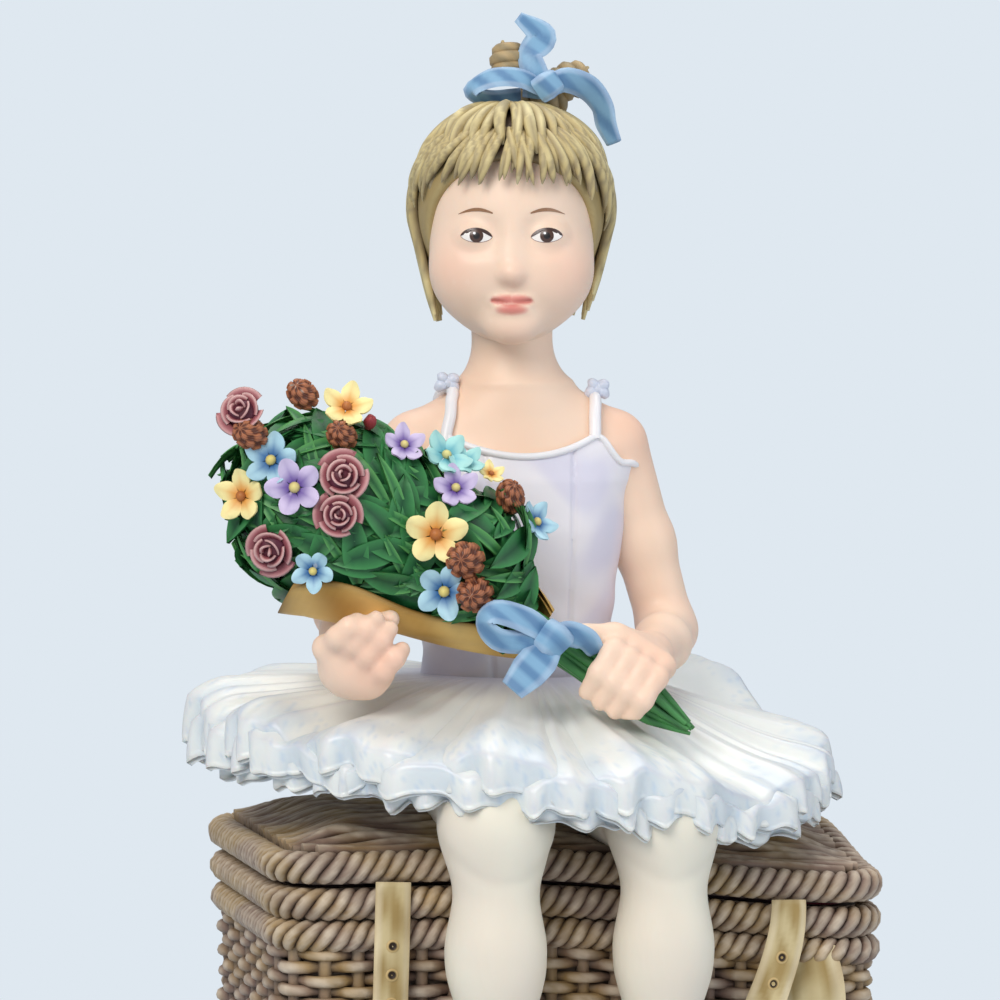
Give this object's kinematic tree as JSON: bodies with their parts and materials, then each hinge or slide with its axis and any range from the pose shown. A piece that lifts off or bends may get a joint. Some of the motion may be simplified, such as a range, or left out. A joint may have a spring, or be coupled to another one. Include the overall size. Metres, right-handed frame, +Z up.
{
  "type": "ballerina jewellery box",
  "caption": "Musical jewellery box: a wicker-pattern hamper with a hinged lid that carries a cast figure of a seated dancer holding a bouquet, over a tray and wind-up movement.",
  "frame": {"origin": "centre of the face that the box stands on", "axes": "+Z up, -Y towards the viewer, +X to the viewer's right"},
  "size_m": [0.1319, 0.1381, 0.2319],
  "materials": {
    "wicker": "painted cast resin, satin",
    "felt": "felt",
    "flock": "flocked",
    "lining": "felt",
    "brass": "satin",
    "steel": "brushed",
    "strap_leather": "painted cast resin in the form of leather",
    "tights": "painted cast resin, satin",
    "tutu": "pearl-painted cast resin",
    "bodice": "painted cast resin, satin",
    "skin": "painted cast resin, satin",
    "hair": "painted cast resin, satin",
    "ribbon": "painted cast resin, satin",
    "paper": "painted cast resin, satin",
    "leaf": "painted cast resin, satin",
    "petal": "painted cast resin, satin"
  },
  "bodies": {
    "box": {"basket_body": "wicker", "base_felt": "felt", "jewel_tray": "flock", "hinge_box_leaves": "brass", "hinge_pins": "brass", "hinge_box_screws": "brass", "buckle_chapes": "strap_leather", "strap_buckles": "brass", "corner_tab": "strap_leather", "tab_stud": "brass", "bedplate": "brass", "bed_screws": "steel", "comb": "steel", "comb_screws": "steel", "front_bracket": "brass", "centre_bracket": "brass", "rear_bracket": "brass", "governor_frame": "brass", "stop_guide": "brass"},
    "lid": {"lid": "wicker", "lid_lining": "lining", "hinge_lid_leaves": "brass", "hinge_lid_screws": "brass", "left_strap": "strap_leather", "right_strap": "strap_leather", "hips": "tights", "left_leg": "tights", "right_leg": "tights", "skirt": "tutu", "torso": "bodice", "head": "skin", "hair": "hair", "hair_topknot": "hair", "hair_ribbon": "ribbon", "left_arm": "skin", "right_arm": "skin", "bouquet_wrap": "paper", "bouquet_foliage": "leaf", "bouquet_stems": "leaf", "bouquet_flowers": "petal", "bouquet_bow": "ribbon"},
    "winder": {"winding_arbor": "steel", "ratchet_wheel": "steel", "winding_key": "brass"},
    "barrel": {"spring_barrel": "brass", "barrel_cap": "brass", "mainspring": "steel"},
    "cylinder": {"pinned_cylinder": "brass", "music_pins": "steel", "cylinder_shaft": "steel", "cylinder_pinion": "brass", "cylinder_wheel": "brass"},
    "governor": {"governor_shaft": "steel", "governor_pinion": "brass", "worm_wheel": "brass"},
    "fly": {"fly_worm": "steel"},
    "click": {"click": "steel"},
    "stop": {"stop_wire": "steel"}
  },
  "joints": [
    {"name": "lid_hinge", "type": "hinge", "parent": "box", "child": "lid", "pos_m": [0, 0.044, 0.0641], "axis": [-1, 0, 0], "range_deg": [0, 45]},
    {"name": "key_wind", "type": "hinge", "parent": "box", "child": "winder", "pos_m": [0.018, 0, 0.0205], "axis": [0, 1, 0], "continuous": true},
    {"name": "barrel_drive", "type": "hinge", "parent": "box", "child": "barrel", "pos_m": [0.018, 0, 0.0205], "axis": [0, 1, 0], "continuous": true},
    {"name": "cylinder_spin", "type": "hinge", "parent": "box", "child": "cylinder", "pos_m": [0, 0, 0.0205], "axis": [0, 1, 0], "continuous": true},
    {"name": "governor_spin", "type": "hinge", "parent": "box", "child": "governor", "pos_m": [0.012, 0, 0.0205], "axis": [0, 1, 0], "continuous": true},
    {"name": "fly_spin", "type": "hinge", "parent": "box", "child": "fly", "pos_m": [0.01673, -0.017, 0.0205], "axis": [0, 0, 1], "continuous": true},
    {"name": "click_lift", "type": "hinge", "parent": "box", "child": "click", "pos_m": [0.0255, 0.02, 0.027], "axis": [0, 1, 0], "range_deg": [0, 12], "stiffness_Nm_per_rad": 0.002},
    {"name": "stop_slide", "type": "slide", "parent": "box", "child": "stop", "axis": [0, 0, 1], "range_m": [0, 0.005]}
  ],
  "couplings": [
    {"joint": "cylinder_spin", "follows": "barrel_drive", "ratio": -2},
    {"joint": "governor_spin", "follows": "barrel_drive", "ratio": 10},
    {"joint": "fly_spin", "follows": "barrel_drive", "ratio": 40},
    {"joint": "stop_slide", "follows": "lid_hinge", "m_per_rad": 0.006366}
  ]
}
